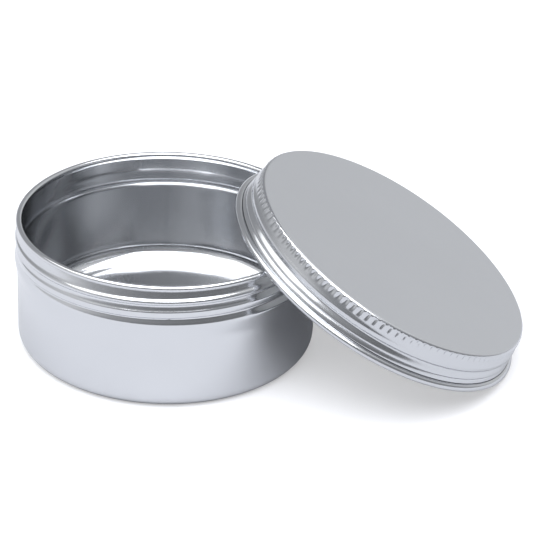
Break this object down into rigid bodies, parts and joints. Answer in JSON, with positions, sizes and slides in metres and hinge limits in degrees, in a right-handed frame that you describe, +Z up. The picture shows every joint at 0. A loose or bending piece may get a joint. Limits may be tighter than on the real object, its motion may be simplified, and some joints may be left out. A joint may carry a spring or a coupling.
{
  "type": "screw-top candle tin",
  "caption": "Shallow round aluminium tin with a rolled rim and threaded neck, open, its flat fluted screw lid leaning against the rim",
  "frame": {"origin": "middle of the tin's underside, on the surface it stands on", "axes": "+Z up along the tin's axis; +X towards the side where the lid leans; -Y towards the viewer"},
  "size_m": [0.13, 0.0828, 0.0467],
  "materials": {
    "tin_body": "smooth drawn aluminium, semi-bright, faint vertical draw marks inside",
    "lid_shell": "satin face with a very fine grain, semi-bright beads and fluted grip band",
    "lid_liner": "white closed-cell foam sheet"
  },
  "bodies": {
    "tin": {"tin_body": "tin_body"},
    "liner": {"lid_liner": "lid_liner"},
    "lid": {"lid_shell": "lid_shell"}
  },
  "joints": [
    {"name": "lid_lift", "type": "slide", "parent": "tin", "child": "liner", "axis": [0, 0, 1], "range_m": [0, 0.06]},
    {"name": "lid_turn", "type": "hinge", "parent": "liner", "child": "lid", "pos_m": [0.05271, -0.00304, 0.01939], "axis": [0.4799, -0.0277, 0.8769], "continuous": true}
  ]
}
